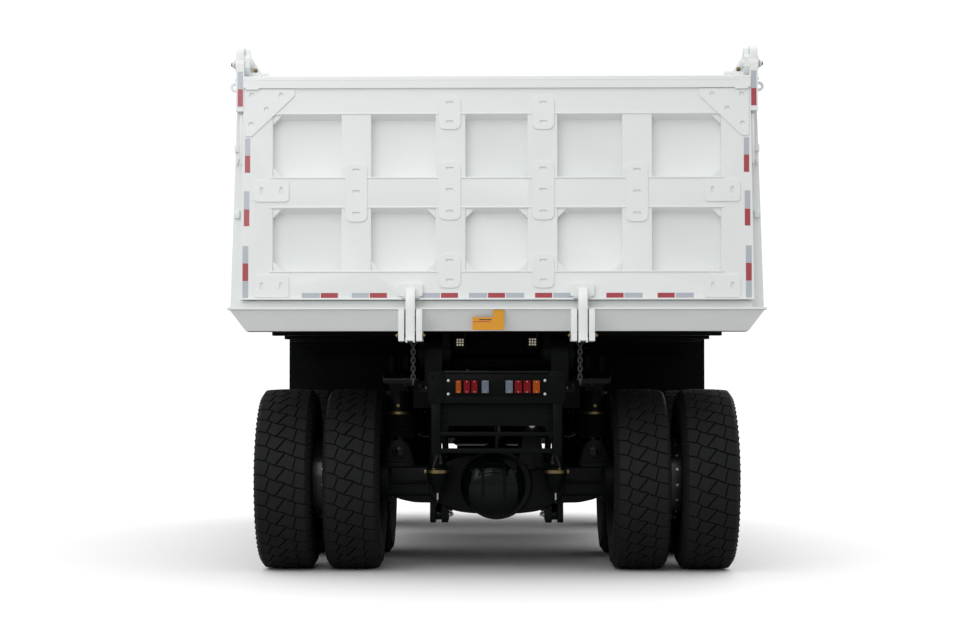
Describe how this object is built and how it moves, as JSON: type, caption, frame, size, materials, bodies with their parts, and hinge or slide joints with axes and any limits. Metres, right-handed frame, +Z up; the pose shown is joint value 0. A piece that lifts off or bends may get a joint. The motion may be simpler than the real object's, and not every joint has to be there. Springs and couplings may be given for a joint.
{
  "type": "mining dump truck",
  "caption": "Wide-body rigid mining dump truck: white rear-tipping body with top-hinged tailgate, offset cab, tandem twin-tyre rear axles, telescopic front hoist.",
  "frame": {"origin": "centre of the bounding box's bottom face, on the ground between the wheels", "axes": "+Z up, +Y towards the front of the truck, +X towards its right side"},
  "size_m": [4.5, 10.03, 4.7],
  "materials": {
    "white_paint": "satin white paint",
    "chassis_black": "semi-gloss black chassis paint",
    "axle_black": "black-painted casting",
    "wheel_rim": "gloss black paint",
    "tyre": "moulded rubber",
    "hoist_chrome": "ground and chromed steel",
    "exhaust_steel": "aluminised steel",
    "glass": "clear safety glass",
    "seat_cloth": "woven cloth",
    "cab_plastic": "grained plastic",
    "tape_red": "reflective tape",
    "tape_silver": "reflective tape",
    "lamp_red": "lamp lens",
    "lamp_amber": "lamp lens",
    "lamp_clear": "lamp lens",
    "zinc_bolt": "yellow zinc plating",
    "yellow_sticker": "blank sticker"
  },
  "bodies": {
    "chassis": {"chassis_frame": "chassis_black", "lamp_guard": "chassis_black", "splash_panel_left": "chassis_black", "splash_panel_right": "chassis_black", "rear_axle": "axle_black", "middle_axle": "axle_black", "strut_middle_left": "chassis_black", "strut_middle_right": "chassis_black", "strut_rear_left": "chassis_black", "strut_rear_right": "chassis_black", "strut_front_left": "chassis_black", "strut_front_right": "chassis_black", "front_axle": "axle_black", "drive_shaft_front": "chassis_black", "drive_shaft_rear": "chassis_black", "cab_shell": "white_paint", "windscreen": "glass", "cab_side_glass": "glass", "cab_rear_glass": "glass", "driver_seat": "seat_cloth", "dashboard": "cab_plastic", "steering_wheel": "cab_plastic", "front_deck": "chassis_black", "front_bumper": "white_paint", "engine_hood": "white_paint", "radiator": "axle_black", "engine": "axle_black", "air_cleaner": "chassis_black", "exhaust": "exhaust_steel", "fuel_tank": "chassis_black", "hydraulic_tank": "chassis_black"},
    "steer_left": {"knuckle_left": "axle_black"},
    "wheel_front_left": {"rim_front_left": "wheel_rim", "tyre_front_left": "tyre"},
    "steer_right": {"knuckle_right": "axle_black"},
    "wheel_front_right": {"rim_front_right": "wheel_rim", "tyre_front_right": "tyre"},
    "track_rod": {"tie_rod": "chassis_black"},
    "wheels_middle_left": {"twin_rim_middle_left": "wheel_rim", "tyre_outer_middle_left": "tyre", "tyre_inner_middle_left": "tyre"},
    "wheels_middle_right": {"twin_rim_middle_right": "wheel_rim", "tyre_outer_middle_right": "tyre", "tyre_inner_middle_right": "tyre"},
    "wheels_rear_left": {"twin_rim_rear_left": "wheel_rim", "tyre_outer_rear_left": "tyre", "tyre_inner_rear_left": "tyre"},
    "wheels_rear_right": {"twin_rim_rear_right": "wheel_rim", "tyre_outer_rear_right": "tyre", "tyre_inner_rear_right": "tyre"},
    "bed": {"dump_body": "white_paint"},
    "gate": {"tailgate": "white_paint"},
    "barrel": {"hoist_barrel": "chassis_black"},
    "stage_1": {"hoist_stage_1": "hoist_chrome"},
    "stage_2": {"hoist_stage_2": "hoist_chrome"},
    "stage_3": {"hoist_stage_3": "hoist_chrome"},
    "rod": {"hoist_rod": "hoist_chrome"},
    "door": {"cab_door": "white_paint", "door_glass": "glass"}
  },
  "joints": [
    {"name": "steer_left_kingpin", "type": "hinge", "parent": "chassis", "child": "steer_left", "pos_m": [-1.2, 2.835, 0.81], "axis": [0, 0, 1], "range_deg": [-30, 30]},
    {"name": "steer_right_kingpin", "type": "hinge", "parent": "chassis", "child": "steer_right", "pos_m": [1.2, 2.835, 0.81], "axis": [0, 0, 1], "range_deg": [-30, 30]},
    {"name": "track_rod_ball", "type": "hinge", "parent": "steer_left", "child": "track_rod", "pos_m": [-1.1, 2.475, 0.6], "axis": [0, 0, 1], "range_deg": [-30, 30]},
    {"name": "spin_front_left", "type": "hinge", "parent": "steer_left", "child": "wheel_front_left", "pos_m": [-1.62, 2.835, 0.81], "axis": [-1, 0, 0], "continuous": true},
    {"name": "spin_front_right", "type": "hinge", "parent": "steer_right", "child": "wheel_front_right", "pos_m": [1.62, 2.835, 0.81], "axis": [-1, 0, 0], "continuous": true},
    {"name": "spin_middle_left", "type": "hinge", "parent": "chassis", "child": "wheels_middle_left", "pos_m": [-1.5915, -1.665, 0.81], "axis": [-1, 0, 0], "continuous": true},
    {"name": "spin_middle_right", "type": "hinge", "parent": "chassis", "child": "wheels_middle_right", "pos_m": [1.5915, -1.665, 0.81], "axis": [-1, 0, 0], "continuous": true},
    {"name": "spin_rear_left", "type": "hinge", "parent": "chassis", "child": "wheels_rear_left", "pos_m": [-1.5915, -3.465, 0.81], "axis": [-1, 0, 0], "continuous": true},
    {"name": "spin_rear_right", "type": "hinge", "parent": "chassis", "child": "wheels_rear_right", "pos_m": [1.5915, -3.465, 0.81], "axis": [-1, 0, 0], "continuous": true},
    {"name": "bed_tilt", "type": "hinge", "parent": "chassis", "child": "bed", "pos_m": [0, -4.315, 1.93], "axis": [1, 0, 0], "range_deg": [0, 45]},
    {"name": "gate_swing", "type": "hinge", "parent": "bed", "child": "gate", "pos_m": [0, -4.765, 4.35], "axis": [-1, 0, 0], "range_deg": [0, 70]},
    {"name": "barrel_tilt", "type": "hinge", "parent": "chassis", "child": "barrel", "pos_m": [0, 1.835, 2], "axis": [1, 0, 0], "range_deg": [0, 29.2]},
    {"name": "stage_1_slide", "type": "slide", "parent": "barrel", "child": "stage_1", "axis": [0, 0, 1], "range_m": [0, 1.154]},
    {"name": "stage_2_slide", "type": "slide", "parent": "stage_1", "child": "stage_2", "axis": [0, 0, 1], "range_m": [0, 1.154]},
    {"name": "stage_3_slide", "type": "slide", "parent": "stage_2", "child": "stage_3", "axis": [0, 0, 1], "range_m": [0, 1.154]},
    {"name": "rod_slide", "type": "slide", "parent": "stage_3", "child": "rod", "axis": [0, 0, 1], "range_m": [0, 1.154]},
    {"name": "door_swing", "type": "hinge", "parent": "chassis", "child": "door", "pos_m": [-2, 4.004, 2.9], "axis": [0, 0, -1], "range_deg": [0, 65]}
  ],
  "couplings": [
    {"joint": "steer_right_kingpin", "follows": "steer_left_kingpin", "ratio": 1},
    {"joint": "track_rod_ball", "follows": "steer_left_kingpin", "ratio": -1},
    {"joint": "barrel_tilt", "follows": "bed_tilt", "ratio": 0.6477},
    {"joint": "stage_1_slide", "follows": "bed_tilt", "m_per_rad": 1.4684},
    {"joint": "stage_2_slide", "follows": "bed_tilt", "m_per_rad": 1.4684},
    {"joint": "stage_3_slide", "follows": "bed_tilt", "m_per_rad": 1.4684},
    {"joint": "rod_slide", "follows": "bed_tilt", "m_per_rad": 1.4684}
  ]
}
